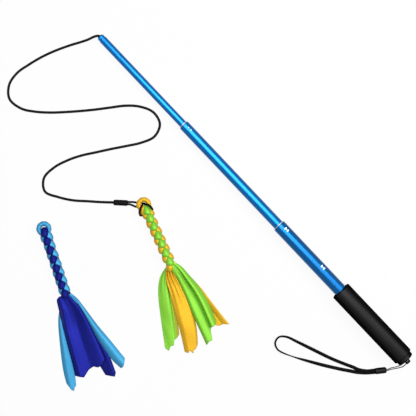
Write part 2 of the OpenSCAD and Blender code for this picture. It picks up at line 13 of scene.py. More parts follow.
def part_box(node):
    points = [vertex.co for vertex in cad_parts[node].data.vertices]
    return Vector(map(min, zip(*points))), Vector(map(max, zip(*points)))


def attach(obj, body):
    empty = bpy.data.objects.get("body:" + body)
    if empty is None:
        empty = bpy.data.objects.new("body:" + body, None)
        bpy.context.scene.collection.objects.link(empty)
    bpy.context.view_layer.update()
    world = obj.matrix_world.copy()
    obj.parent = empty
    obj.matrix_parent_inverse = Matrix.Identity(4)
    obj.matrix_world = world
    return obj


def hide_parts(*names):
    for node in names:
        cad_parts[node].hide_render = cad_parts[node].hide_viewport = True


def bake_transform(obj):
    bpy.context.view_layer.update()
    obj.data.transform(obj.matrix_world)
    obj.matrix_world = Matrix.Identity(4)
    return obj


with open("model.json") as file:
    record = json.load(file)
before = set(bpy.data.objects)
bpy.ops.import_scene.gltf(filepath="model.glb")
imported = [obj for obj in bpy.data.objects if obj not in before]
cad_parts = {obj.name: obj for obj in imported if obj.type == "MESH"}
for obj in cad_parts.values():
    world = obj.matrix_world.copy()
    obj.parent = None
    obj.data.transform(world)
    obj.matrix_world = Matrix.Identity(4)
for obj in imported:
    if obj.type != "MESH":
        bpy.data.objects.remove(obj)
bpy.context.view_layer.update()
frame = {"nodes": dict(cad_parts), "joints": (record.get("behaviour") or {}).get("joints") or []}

bl_info = {
    "name": "Flirt pole",
    "version": (1, 0, 0),
    "blender": (4, 5, 0),
    "location": "3D View > Sidebar > Flirt pole",
    "description": "Dresses a telescoping flirt pole with its line, lanyard and cloth lures",
    "category": "Object",
}

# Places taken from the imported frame; points in this script's lists are in millimetres
MM = 0.001
JOINTS = {joint["name"]: joint for joint in frame["joints"]}
POLE_TILT = math.asin(-JOINTS["middle_slide"]["axis"][2])
POLE = Matrix.Rotation(POLE_TILT, 4, "Y") @ Matrix.Scale(MM, 4)
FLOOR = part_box("foam_grip")[0].z
UP = Vector((0, 0, 1))
# Gap between soft pieces; half of it lies below each
SOFT_GAP = 0.3
# Vertices closer than this are merged
MERGE = 1e-6


def lure_place(node, turn):
    """Matrix of a lure's own frame, turned by some degrees: millimetres along its plait from the eye,
    across, and up from the floor."""
    low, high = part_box(node)
    at = (low + high) / 2
    return (Matrix.Translation((at.x, at.y, FLOOR)) @ Matrix.Rotation(math.radians(turn), 4, "Z")
            @ Matrix.Scale(MM, 4))


LURE = lure_place("lure_eye", turn=161)
SPARE = lure_place("spare_eye", turn=155)


def lying(x, y, h):
    """A point in the row frame from millimetres along, across and above the floor."""
    return Vector((x * MM, y * MM, FLOOR + h * MM))


# Sizes and colours that a user would change
def colour(name, text, default):
    """A colour setting."""
    return FloatVectorProperty(name=name, description=text, subtype="COLOR", size=3, min=0, max=1,
                               default=default)


def length(name, text, default):
    """A length setting in metres."""
    return FloatProperty(name=name, description=text, default=default, min=0, precision=4,
                         subtype="DISTANCE", unit="LENGTH")


class PoleFinish(bpy.types.PropertyGroup):
    """Colours of the tubes, the grip and the small parts"""
    tube: colour("Tubes", "Anodised aluminium of the tubes and the ferrule", (0.003, 0.106, 0.330))
    ring: colour("Mouth rings", "Bare metal of the rings at the tube mouths", (0.32, 0.37, 0.47))
    mark: colour("Marks", "Printed marks on the tubes", (0.68, 0.75, 0.82))
    foam: colour("Foam", "Foam of the grip", (0.0035, 0.0035, 0.0036))
    plastic: colour("Plastic", "End cap, lanyard sleeve, grommet and knot", (0.0025, 0.0025, 0.0026))
    shim: colour("Shims", "Natural plastic of the friction shims", (0.72, 0.73, 0.71))


class CordSizes(bpy.types.PropertyGroup):
    """Sizes and colours of the cords"""
    line: length("Line", "Diameter of the bungee line", 0.0039)
    loop: length("Loop", "Diameter of the hitch loop's cord", 0.0032)
    string: length("String", "Diameter of the lanyard's string", 0.0014)
    strap_width: length("Strap width", "Width of the wrist strap's webbing", 0.0055)
    strap_thickness: length("Strap thickness", "Thickness of the wrist strap's webbing", 0.0018)
    black: colour("Cord", "Yarn of the line, loop, string and strap", (0.004, 0.004, 0.0043))


class LureCloth(bpy.types.PropertyGroup):
    """Colours and cloth of the lures"""
    green: colour("Green", "Green cloth of the lure", (0.180, 0.465, 0.038))
    yellow: colour("Yellow", "Yellow cloth of the lure", (0.570, 0.322, 0.016))
    navy: colour("Navy", "Dark cloth of the spare lure", (0.007, 0.010, 0.158))
    sky: colour("Sky", "Light cloth of the spare lure", (0.041, 0.250, 0.445))
    thickness: length("Thickness", "Thickness of the cloth", 0.0010)
    rows: IntProperty(name="Rows", description="Mesh rows along a tail", default=50, min=20, max=120)
    columns: IntProperty(name="Columns", description="Mesh columns across a tail", default=40, min=10,
                         max=60)


class Studio(bpy.types.PropertyGroup):
    """Camera and light"""
    view: length("View", "Width of the picture on the floor", 0.624)
    lens: FloatProperty(name="Lens", description="Focal length", default=100, min=20, unit="CAMERA")
    soft_box: FloatProperty(name="Soft box", description="Radiance of the soft box overhead", default=6.8,
                            min=0)
    key: FloatProperty(name="Key", description="Radiance of the key lamp past the grip", default=7.5,
                       min=0)
    fill: FloatProperty(name="Fill", description="Light from all round", default=0.10, min=0)


class FlirtPole(bpy.types.PropertyGroup):
    """All settings of the flirt pole"""
    finish: PointerProperty(type=PoleFinish)
    cords: PointerProperty(type=CordSizes)
    cloth: PointerProperty(type=LureCloth)
    studio: PointerProperty(type=Studio)


# Materials
class Value:
    """A shader socket that takes part in Python arithmetic."""

    def __init__(self, look, socket):
        self.look = look
        self.socket = socket

    def math(self, operation, *others):
        return self.look.node("Math", [self, *others], operation=operation)

    def __add__(self, other):
        return self.math("ADD", other)

    def __sub__(self, other):
        return self.math("SUBTRACT", other)

    def __rsub__(self, other):
        return self.look.node("Math", [other, self], operation="SUBTRACT")

    def __mul__(self, other):
        return self.math("MULTIPLY", other)

    def __pow__(self, other):
        return self.math("POWER", other)

    def __lt__(self, other):
        return self.math("LESS_THAN", other)

    def __gt__(self, other):
        return self.math("GREATER_THAN", other)

    def __abs__(self):
        return self.math("ABSOLUTE")

    __radd__ = __add__
    __rmul__ = __mul__

    def wave(self):
        """Distance from the nearest whole number, from 0 to 1 half way between two."""
        return abs(self.math("FRACT") - 0.5) * -2 + 1

    def parts(self):
        """The three numbers of a vector."""
        made = self.look.node("SeparateXYZ", [self]).socket.node
        return [Value(self.look, socket) for socket in made.outputs]


class Look:
    """One material, or the world's light, and the nodes that make it."""

    def __init__(self, name, group="materials"):
        self.data = getattr(bpy.data, group).new(name)
        self.data.use_nodes = True
        self.tree = self.data.node_tree
        self.tree.nodes.clear()

    def feed(self, socket, value):
        if isinstance(value, Value):
            self.tree.links.new(value.socket, socket)
        else:
            socket.default_value = value

    def node(self, kind, sockets=(), output=0, **settings):
        """Any shader node: its settings first, then its sockets by order or by name."""
        made = self.tree.nodes.new("ShaderNode" + kind)
        for key, value in settings.items():
            setattr(made, key, value)
        named = sockets.items() if isinstance(sockets, dict) else enumerate(sockets)
        for key, value in named:
            found = [s for s in made.inputs if key in (s.identifier, s.name)]
            self.feed(found[0] if found else made.inputs[key], value)
        return Value(self, made.outputs[output]) if made.outputs else None

    def coordinates(self, kind="Object"):
        return self.node("TexCoord", output=kind)

    def mapped(self, coordinates, scale, turn=(0, 0, 0)):
        return self.node("Mapping", {"Vector": coordinates, "Scale": scale, "Rotation": turn})

    def noise(self, coordinates, scale, detail=2.0):
        return self.node("TexNoise", {"Vector": coordinates, "Scale": scale, "Detail": detail})

    def blend(self, share, first, second):
        """A mix of two colours."""
        pair = [(*c, 1) if isinstance(c, (tuple, list)) else c for c in (first, second)]
        return self.node("Mix", {"Factor_Float": share, "A_Color": pair[0], "B_Color": pair[1]},
                         "Result", data_type="RGBA")

    def bump(self, height, depth, strength=1.0):
        """A normal from a height of 0 to 1 that stands for a depth in metres."""
        return self.node("Bump", {"Strength": strength, "Distance": depth, "Height": height}, "Normal")

    def done(self, fade=0.0, **sockets):
        """Ends in a principled surface with these sockets; fade takes the gloss off towards the rim."""
        named = {key.replace("_", " ").title().replace("Ior", "IOR"): value
                 for key, value in sockets.items()}
        surface = self.node("BsdfPrincipled", named)
        if fade:
            matt = self.node("BsdfPrincipled", {**named, "Specular IOR Level": 0.0})
            rim = self.node("LayerWeight", {"Blend": 0.5}, "Facing") * fade
            surface = self.node("MixShader", [rim.math("MINIMUM", 1.0), surface, matt])
        self.node("OutputMaterial", [surface])
        return self.data

    def white_seen(self):
        """1 for rays from the camera, off gloss and through glass, which see plain white, else 0."""
        camera, gloss, through = (self.node("LightPath", output=f"Is {kind} Ray")
                                  for kind in ("Camera", "Glossy", "Transmission"))
        return camera.math("MAXIMUM", gloss).math("MAXIMUM", through)


def shade(base, factor):
    """A colour made lighter or darker."""
    return tuple(min(1.0, c * factor) for c in base)


def bone_mark(at, x, y):
    """Mask of one small printed bone on the top of a tube, its middle x, y millimetres from the grip's."""
    along, across, up = at
    along = along * (1 / MM) - x
    across = across * (1 / MM) - y
    half_bar, bar, knob, spread = 2.6, 0.8, 1.15, 0.95
    mark = (abs(along) < half_bar) * (abs(across) < bar)
    ends = (abs(along) - half_bar) ** 2 + (abs(across) - spread) ** 2
    return (mark + (ends < knob * knob)).math("MINIMUM", 1.0) * (up > 0)


# Turns a pattern to lie along the tilted pole
ALONG_POLE = (0, -POLE_TILT, 0)


def anodised_look(name, base, mark_colour, marks):
    """Satin blue aluminium, drawn lengthwise, with printed marks."""
    look = Look(name)
    place = look.coordinates()
    lines = look.noise(look.mapped(place, (9, 2600, 2600), ALONG_POLE), scale=1, detail=3)
    cloud = look.noise(place, scale=26, detail=3)
    tone = look.blend(lines * 0.4 + cloud * 0.6, shade(base, 0.92), shade(base, 1.08))
    metal, rough = 1.0, 0.24 + lines * 0.03 + cloud * 0.03
    for x, y in marks:
        printed = bone_mark(place.parts(), x, y)
        tone = look.blend(printed, tone, mark_colour)
        metal = metal - printed
        rough = rough + printed * 0.25
    return look.done(base_color=tone, metallic=metal, roughness=rough, coat_weight=0.12,
                     coat_roughness=0.24, normal=look.bump(lines, depth=0.00001, strength=0.05))


def turned_metal_look(name, base):
    """Bare metal with fine turning lines round the pole."""
    look = Look(name)
    place = look.coordinates()
    rings = look.noise(look.mapped(place, (5000, 60, 60), ALONG_POLE), scale=1)
    tone = look.blend(rings, shade(base, 0.85), shade(base, 1.05))
    return look.done(base_color=tone, metallic=0.55, roughness=0.34 + rings * 0.16,
                     normal=look.bump(rings, depth=0.00002, strength=0.4))


def foam_look(name, base):
    """Closed-cell foam: fine pores and a soft bloom from handling."""
    look = Look(name)
    place = look.coordinates()
    cells = look.node("TexVoronoi", {"Vector": place, "Scale": 1500}, "Distance", feature="F1")
    grain = look.noise(place, scale=900, detail=3)
    bloom = look.noise(look.mapped(place, (30, 90, 90)), scale=1, detail=3)
    tone = look.blend(bloom * 0.6 + grain * 0.4, shade(base, 0.55), shade(base, 1.5))
    return look.done(fade=3.5, base_color=tone, roughness=0.38 + bloom * 0.10, specular_ior_level=0.14,
                     normal=look.bump(cells * 0.6 + grain * 0.4, depth=0.0001, strength=0.25))


def plastic_look(name, base, rough=0.38):
    """Moulded plastic or rubber with a fine spark-eroded grain."""
    look = Look(name)
    place = look.coordinates()
    grain = look.noise(place, scale=2600)
    wear = look.noise(place, scale=160, detail=4)
    tone = look.blend(wear, shade(base, 0.75), shade(base, 1.35))
    return look.done(fade=3.0, base_color=tone, roughness=rough + wear * 0.14, specular_ior_level=0.14,
                     normal=look.bump(grain, depth=0.00003, strength=0.6))


def yarn_look(look, base, weave_and_shade, fuzz_scale, fuzz_share, gloss):
    """Yarn of a cord or a tape: its woven relief stands out, with painted shade in the grooves and a
    lighter painted tone on the tops, and some fuzz over it.
    """
    fuzz = look.noise(look.coordinates(), scale=fuzz_scale)
    # Painted shade: the tone follows the relief, darker in the grooves and lighter on the tops
    tone = look.blend(weave_and_shade * 0.7 + fuzz * 0.3, shade(base, 0.4), shade(base, 1.7))
    relief = weave_and_shade * (1 - fuzz_share) + fuzz * fuzz_share
    return look.done(fade=2.5, base_color=tone, roughness=0.6 + fuzz * 0.16, specular_ior_level=gloss,
                     normal=look.bump(relief, depth=0.00022, strength=0.8))


def braid_look(name, base, around, along):
    """Braided sheath: diamonds of yarn that cross, counted round and along the cord's UV map."""
    look = Look(name)
    turn, run, _ = look.coordinates("UV").parts()
    right = (turn * around + run * along).wave()
    left = (turn * around - run * along).wave()
    return yarn_look(look, base, right.math("MINIMUM", left), fuzz_scale=5200, fuzz_share=0.15, gloss=0.12)


def webbing_look(name, base, along):
    """Woven tape: ribs across with a herringbone step."""
    look = Look(name)
    turn, run, _ = look.coordinates("UV").parts()
    ribs = (run * along + (turn * 8).wave() * 0.5).wave()
    return yarn_look(look, base, ribs, fuzz_scale=4200, fuzz_share=0, gloss=0.06)


def cloth_look(name, base, back=None, gleam=0.32, rough=0.42):
    """Satin cloth: a fine nap, faint lengthwise pull, a gleam of its own colour and a reverse in a duller,
    darker colour that is partly painted shade.
    The attribute reverse is 1 where the cloth's back is turned up."""
    look = Look(name)
    place = look.coordinates()
    nap = look.noise(place, scale=3200, detail=3)
    cloud = look.noise(place, scale=48, detail=3)
    across, along, _ = look.coordinates("UV").parts()
    drawn = look.node("CombineXYZ", [across * 14, along * 1.5, 0])
    pull = look.noise(drawn, scale=1, detail=3)
    tone = look.blend(cloud * 0.6 + nap * 0.1 + pull * 0.3, shade(base, 0.86), shade(base, 1.14))
    # The reverse colour is the cloth's back, darkened as painted shade where it lies under other tails
    if back:
        turned = look.node("Attribute", output="Fac", attribute_name="reverse")
        tone = look.blend(turned, tone, back)
    return look.done(base_color=tone, roughness=rough + nap * 0.1, metallic=gleam, specular_ior_level=0.1,
                     normal=look.bump(nap * 0.4 + pull * 0.6, depth=0.00005, strength=0.3))


# Meshes
def placed(name, data):
    """A new object in the scene."""
    made = bpy.data.objects.new(name, data)
    bpy.context.scene.collection.objects.link(made)
    return made


def from_bmesh(name, bm, material, place=Matrix()):
    """A new smooth object at the origin, its mesh put in place, merged and turned outwards."""
    bmesh.ops.transform(bm, matrix=place, verts=bm.verts[:])
    bmesh.ops.remove_doubles(bm, verts=bm.verts[:], dist=MERGE)
    bmesh.ops.recalc_face_normals(bm, faces=bm.faces[:])
    mesh = bpy.data.meshes.new(name)
    bm.to_mesh(mesh)
    bm.free()
    mesh.materials.clear()
    mesh.materials.append(material)
    for face in mesh.polygons:
        face.use_smooth = True
    return placed(name, mesh)


def stands_for(made, body, slot, *nodes):
    """The piece rides on a body and replaces these solids; the slot is not used."""
    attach(made, body)
    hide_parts(*nodes)


def dress(material, *nodes):
    """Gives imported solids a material."""
    for name in nodes:
        slots = frame["nodes"][name].data.materials
        slots.clear()
        slots.append(material)


def smooth_line(points, steps):
    """Points on a smooth line through the given ones."""
    last = len(points) - 1
    line = []
    for i in range(last):
        a, b, c, d = (points[min(max(k, 0), last)] for k in (i - 1, i, i + 1, i + 2))
        for j in range(steps):
            t = j / steps
            line.append(b + (c - a) * (t / 2) + (2 * a - 5 * b + 4 * c - d) * (t * t / 2)
                        + (3 * b - a - 3 * c + d) * (t ** 3 / 2))
    return line + [points[last]]


def evenly(line, count):
    """As many points, evenly spaced along a line."""
    run = [0.0]
    for a, b in zip(line, line[1:]):
        run.append(run[-1] + (b - a).length)
    spaced, i = [], 0
    for k in range(count):
        goal = run[-1] * k / (count - 1)
        while i < len(line) - 2 and run[i + 1] < goal:
            i += 1
        share = (goal - run[i]) / max(run[i + 1] - run[i], 1e-12)
        spaced.append(line[i].lerp(line[i + 1], min(share, 1.0)))
    return spaced


def route(points, step):
    """An even line with straight ends along a cord's points."""
    line = [points[0], *smooth_line(points[1:-1], steps=12), points[-1]]
    total = sum((b - a).length for a, b in zip(line, line[1:]))
    return evenly(line, round(total / step) + 1)


def swept(name, line, material, diameter=None, profile=None, tilts=None):
    """A mesh swept along a line: round, or with a flat profile that tilts on its way."""
    curve = bpy.data.curves.new(name, "CURVE")
    curve.dimensions = "3D"
    curve.twist_mode = "MINIMUM" if profile is None else "Z_UP"
    curve.use_fill_caps = True
    if profile is None:
        curve.bevel_depth = diameter / 2
        curve.bevel_resolution = 4
    else:
        curve.bevel_mode = "OBJECT"
        curve.bevel_object = profile
    spline = curve.splines.new("POLY")
    spline.points.add(len(line) - 1)
    for i, place in enumerate(line):
        spline.points[i].co = (*place, 1)
        spline.points[i].tilt = tilts[i] if tilts else 0.0
    sweep = placed(name + "_sweep", curve)
    bpy.context.view_layer.update()
    mesh = bpy.data.meshes.new_from_object(sweep.evaluated_get(bpy.context.evaluated_depsgraph_get()))
    bpy.data.objects.remove(sweep)
    bm = bmesh.new()
    bm.from_mesh(mesh)
    return from_bmesh(name, bm, material)


def spun(name, outline, place, material, steps=72):
    """A turned piece: an outline of radius and length in millimetres, spun about its place's X axis."""
    bm = bmesh.new()
    verts = [bm.verts.new((along, radius, 0)) for radius, along in outline]
    edges = [bm.edges.new(pair) for pair in zip(verts, verts[1:])]
    if outline[0][0] > 0:
        edges.append(bm.edges.new((verts[-1], verts[0])))
    bmesh.ops.spin(bm, geom=verts + edges, cent=(0, 0, 0), axis=(1, 0, 0), angle=2 * math.pi, steps=steps,
                   use_merge=True)
    return from_bmesh(name, bm, material, place)


def arc(centre_r, centre_x, radius, start, end, count=6):
    """Points of radius and length on a round edge, by its angles in degrees."""
    angles = [math.radians(start + (end - start) * k / count) for k in range(count + 1)]
    return [(centre_r + radius * math.sin(a), centre_x + radius * math.cos(a)) for a in angles]


def towards(start, direction):
    """Matrix in millimetres whose X axis starts at a point and runs level along a direction."""
    turn = Matrix.Rotation(math.atan2(direction.y, direction.x), 4, "Z")
    return Matrix.Translation(start) @ turn @ Matrix.Scale(MM, 4)


# Routes of the cords: where the line starts in the tip tube and leaves it, along the pole
TIP_INSIDE, TIP_EXIT = 573, 594.2
# Straight run of a cord out of a sleeve
LEAD = 3
# The line's points: along, across and any lift off the floor
LINE_ROUTE = [
    (603, 16.5, 1.4), (608, 27, 0.2), (616, 43), (625, 64), (632, 85), (637, 107), (640, 129),
    (635, 150), (619, 164), (597, 161), (579, 149), (562, 133), (547, 116), (533, 99), (519, 81),
    (506, 63), (492, 44), (476, 29), (456, 20), (436, 25), (428, 44), (435, 65), (447, 85), (459, 104),
    (471, 124), (483, 144), (492, 164), (498, 186), (497, 208), (481, 221), (461, 212), (442, 199),
    (426, 184), (412, 171, 0.6)]
# Sizes and places of the whipped sleeve, the lures' eyes, the lanyard's sleeve and the nub
WHIP_D, WHIP_LENGTH = 9, 22
WHIP_START = lying(398, 157, WHIP_D / 2 + SOFT_GAP / 2)
WHIP_WAY = Vector((-16, -15.5, 0)).normalized()
WHIP_END = WHIP_START + WHIP_WAY * WHIP_LENGTH * MM
EYE_R, EYE_D, EYE_H = 7.6, 7.6, 8.3
CUFF_D, CUFF_LENGTH = 9.2, 17
CUFF_START = lying(-68, 31.5, CUFF_D / 2 + SOFT_GAP / 2)
CUFF_WAY = Vector((10.4, 13.8, 0)).normalized()
CUFF_END = CUFF_START + CUFF_WAY * CUFF_LENGTH * MM
NUB_X, NUB_D = -77.1, 8
# Half the spread of the strap's legs at the sleeve
STRAP_SPREAD = 1.5
# The strap's points: along, across, tilt in degrees and any lift off the floor
STRAP_ROUTE = [
    (-49, 54.6, 90, 1.95), (-39, 62, 90, 1.5), (-31, 65.2, 70), (-18, 71.5, 65), (2, 80.5, 65),
    (30, 91, 65), (56, 100.5, 48), (71, 106.5, 30), (79, 115, 22), (77, 125, 22), (68, 129.5, 12),
    (57, 127, 4), (40, 118.5, -12), (28, 111.5, -40), (4, 97, -72), (-18, 82.5, -76), (-32, 72.5, -80),
    (-41, 66, -90), (-50.4, 57, -90, 0.45)]


def line_points(diameter):
    """The line from the stopper knot out of the tip and over the floor to the whipped sleeve."""
    lie = diameter / MM / 2 + SOFT_GAP / 2
    tip = [POLE @ Vector((TIP_INSIDE, 0, 0)), POLE @ Vector((TIP_EXIT, 0, 0)),
           POLE @ Vector((TIP_EXIT + 3, 2.5, 0)), POLE @ Vector((TIP_EXIT + 6, 8, -1))]
    floor = [lying(x, y, lie + sum(lift)) for x, y, *lift in LINE_ROUTE]
    return tip + floor + [WHIP_START - WHIP_WAY * LEAD * MM, WHIP_START]


def loop_points(diameter):
    """The hitch loop: up through the lure's eye, round the neck below it and back."""
    r = diameter / MM / 2
    low = r + SOFT_GAP / 2
    top = EYE_H + EYE_D / 2 + r + 0.8
    neck = EYE_R + EYE_D / 2 + r + 0.7
    left = EYE_H + r + 1.2
    right = left - 2.2
    strand = r + SOFT_GAP
    out = [(-10.5, -13.5, low + 1.2), (-7, -8, low), (-3, -2, low + 0.4), (-1, strand - 0.5, EYE_H - 3.3),
           (-0.4, strand, EYE_H), (0.2, strand + 0.3, EYE_H + 3.5), (2.4, 5.6, top + 0.2),
           (7, right - 0.5, top - 0.6), (neck - 2, right, EYE_H + 1), (neck, right - 2, EYE_H - 3.7),
           (neck, 4.4, low + 0.2)]
    back = [(neck, -4.4, low + 0.2), (neck, 2 - left, EYE_H - 3.7), (neck - 2, -left - 0.3, EYE_H + 1),
            (7, 1.2 - left, top - 0.8), (2.4, -5.5, top), (0.6, -strand - 0.3, EYE_H + 3.5),
            (0.4, -strand, EYE_H), (0.3, -strand - 0.7, EYE_H - 3.3), (-0.4, -6.5, low + 0.3),
            (-2, -12, low), (-6.5, -16.4, low + 1.2)]
    apart = WHIP_WAY.cross(UP) * (r + SOFT_GAP / 2) * MM
    lead = WHIP_WAY * LEAD * MM
    round_eye = [LURE @ Vector(p) for p in [*out, (neck, 0, low), *back]]
    return [WHIP_END - apart, WHIP_END - apart + lead, *round_eye, WHIP_END + apart + lead,
            WHIP_END + apart]


def string_points(diameter):
    """The string from the lanyard's sleeve through the nub of the end cap and back."""
    r = diameter / MM / 2
    top = NUB_D / 2 + r + 0.7
    nub = POLE @ Vector((NUB_X, 0, 0))
    apart = CUFF_WAY.cross(UP) * (r + SOFT_GAP / 2) * MM
    lead = CUFF_WAY * LEAD * MM
    round_nub = [(-0.8, 11, 2), (-0.5, NUB_D / 2 + 1.6, top - 0.3), (0, 1.6, top), (0, 0, NUB_D / 2 - 0.4),
                 (0, 0, 0), (0, 0, 0.4 - NUB_D / 2), (0, 1.6, -top), (0.5, NUB_D / 2 + 1.6, -top - 0.1),
                 (0.8, 11, -7.5)]
    return [CUFF_START - apart, CUFF_START - apart - lead, lying(-72, 25.6, 6.4), lying(-75.4, 18.6, 12),
            *[nub + Vector(p) * MM for p in round_nub],
            lying(-74, 18, 7), lying(-70.4, 24.6, 5), CUFF_START + apart - lead, CUFF_START + apart]


def strap_points(width, thickness):
    """The wrist strap's middle line with its tilt as a fourth number, 0 standing on edge."""
    apart = UP * (thickness + SOFT_GAP * MM) / 2 + CUFF_WAY.cross(UP) * STRAP_SPREAD * MM
    lead = CUFF_WAY * LEAD * MM
    legs = []
    for x, y, turn, *lift in STRAP_ROUTE:
        lean = math.radians(turn)
        rise = width / 2 * abs(math.cos(lean)) + thickness / 2 * abs(math.sin(lean)) + SOFT_GAP / 2 * MM
        legs.append(Vector((x * MM, y * MM, FLOOR + rise + sum(lift) * MM, lean * MM)))
    flat = math.pi / 2 * MM
    first = [Vector((*place, flat)) for place in (CUFF_END + apart, CUFF_END + apart + lead)]
    last = [Vector((*place, -flat)) for place in (CUFF_END - apart + lead, CUFF_END - apart)]
    return [*first, *legs, *last]


# The picture's right and up on the floor, the point below the camera and the sensor's width
PICTURE_RIGHT = Vector((-0.6870, -0.7266, 0))
PICTURE_UP = Vector((0.7266, -0.6870, 0))
PICTURE_MIDDLE = Vector((0.29405, 0.05927, -0.004))
SENSOR_WIDTH = 36
# Each lamp's sides in metres, its lean about X and Y in degrees and its distance in metres
LAMPS = {"soft_box": ((0.95, 2.4), (13, 5), 2.3), "key": ((1.0, 1.0), (42, -25), 2.6)}
# The ground: middle, half side, drop below the part, two greys and share of white seen
GROUND_MIDDLE = (0.29, 0.06)
GROUND_HALF, GROUND_DROP = 6, 0.0001
PAPER_DARK, PAPER_PALE, SEEN_WHITE = 0.66, 0.70, 0.92


# Operators
class FLIRTPOLE_OT_stage(bpy.types.Operator):
    """Set the camera above the floor, the soft box, the key lamp, the fill and the white ground"""
    bl_idname = "flirtpole.stage"
    bl_label = "Stage"

    def execute(self, context):
        studio = context.scene.flirt_pole.studio
        self.camera(context, studio)
        for name, (size, lean, distance) in LAMPS.items():
            self.lamp(name, getattr(studio, name), size, lean, distance)
        self.ground()
        self.world(context, studio)
        context.scene.view_settings.view_transform = "Standard"
        return {"FINISHED"}

    def camera(self, context, studio):
        data = bpy.data.cameras.new("camera")
        data.lens = studio.lens
        data.sensor_width = SENSOR_WIDTH
        turn = Matrix((PICTURE_RIGHT, PICTURE_UP, UP)).transposed().to_4x4()
        distance = studio.view * studio.lens / SENSOR_WIDTH
        made = placed("camera", data)
        made.matrix_world = Matrix.Translation(PICTURE_MIDDLE + UP * distance) @ turn
        context.scene.camera = made

    def lamp(self, name, radiance, size, lean, distance):
        """A lamp that faces the middle of the ground, leaning by two angles in degrees."""
        data = bpy.data.lights.new(name, "AREA")
        data.shape = "RECTANGLE"
        data.size, data.size_y = size
        # An area lamp's radiance is a quarter of its power per square metre
        data.energy = 4 * radiance * data.size * data.size_y
        made = placed(name, data)
        about_x, about_y = (math.radians(angle) for angle in lean)
        turn = Matrix.Rotation(about_x, 4, "X") @ Matrix.Rotation(about_y, 4, "Y")
        made.matrix_world = (Matrix.Translation((*GROUND_MIDDLE, 0)) @ turn
                             @ Matrix.Translation((0, 0, distance)))

    def ground(self):
        """The floor: white where it is seen, with a little of its own shading for the shadow."""
        look = Look("white_ground")
        paper = look.noise(look.coordinates(), scale=300)
        grey = look.blend(paper, (PAPER_DARK,) * 3, (PAPER_PALE,) * 3)
        matt = look.node("BsdfPrincipled",
                         {"Base Color": grey, "Roughness": 0.9, "Specular IOR Level": 0.0})
        white = look.node("Emission", {"Color": (1, 1, 1, 1), "Strength": 1.0})
        mixed = look.node("MixShader", [look.white_seen() * SEEN_WHITE, matt, white])
        look.node("OutputMaterial", [mixed])
        bm = bmesh.new()
        bmesh.ops.create_grid(bm, x_segments=4, y_segments=4, size=GROUND_HALF,
                              matrix=Matrix.Translation((*GROUND_MIDDLE, FLOOR - GROUND_DROP)))
        from_bmesh("ground", bm, look.data)

    def world(self, context, studio):
        """A dim room that shows white behind the object."""
        look = Look("white_room", "worlds")
        levels = [look.node("Background", {"Color": (1, 1, 1, 1), "Strength": level})
                  for level in (studio.fill, 1.0)]
        mixed = look.node("MixShader", [look.white_seen(), *levels])
        look.node("OutputWorld", [mixed])
        context.scene.world = look.data


class FLIRTPOLE_OT_line(bpy.types.Operator):
    """Lay the bungee line with its whipped sleeve and the hitch loop on the lure"""
    bl_idname = "flirtpole.line"
    bl_label = "Bungee line"

    def execute(self, context):
        cords = context.scene.flirt_pole.cords
        black = cords.black
        sleeve = self.sleeve(braid_look("whipping_yarn", black, around=10, along=14))
        line = route(line_points(cords.line), step=0.002)
        made = swept("bungee", line, braid_look("bungee_sheath", black, around=6, along=280), cords.line)
        stands_for(made, "tip_section", "black_cord", "bungee_line")
        line = route(loop_points(cords.loop), step=0.0012)
        made = swept("hitch_cord", line, braid_look("hitch_sheath", black, around=5, along=60), cords.loop)
        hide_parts("hitch_loop")
        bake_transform(made)
        return {"FINISHED"}

    def sleeve(self, material):
        """The sleeve: a rod drawn in at its ends and wound with thread in a helix."""
        turns, rings_per_turn = 20, 6
        shoulder, end_share, thread_depth = 3.0, 0.62, 0.13
        bm = bmesh.new()
        bmesh.ops.create_cone(bm, segments=40, radius1=1, radius2=1, depth=1, cap_ends=True)
        long_edges = [e for e in bm.edges if abs(e.verts[0].co.z - e.verts[1].co.z) > 0.5]
        bmesh.ops.subdivide_edges(bm, edges=long_edges, cuts=turns * rings_per_turn)
        for vert in bm.verts:
            along = (vert.co.z + 0.5) * WHIP_LENGTH
            angle = math.atan2(vert.co.y, vert.co.x)
            near = min(1.0, min(along, WHIP_LENGTH - along) / shoulder)
            share = end_share + (1 - end_share) * math.sqrt(max(0.0, 1 - (1 - near) ** 2))
            thread = thread_depth * math.cos(2 * math.pi * along / WHIP_LENGTH * turns - angle)
            radius = (WHIP_D - SOFT_GAP) / 2 * share + thread
            vert.co = (along, radius * math.cos(angle), radius * math.sin(angle))
        made = from_bmesh("line_whipping", bm, material, towards(WHIP_START, WHIP_WAY))
        stands_for(made, "tip_section", "black_cord", "whipped_sleeve")
        return made


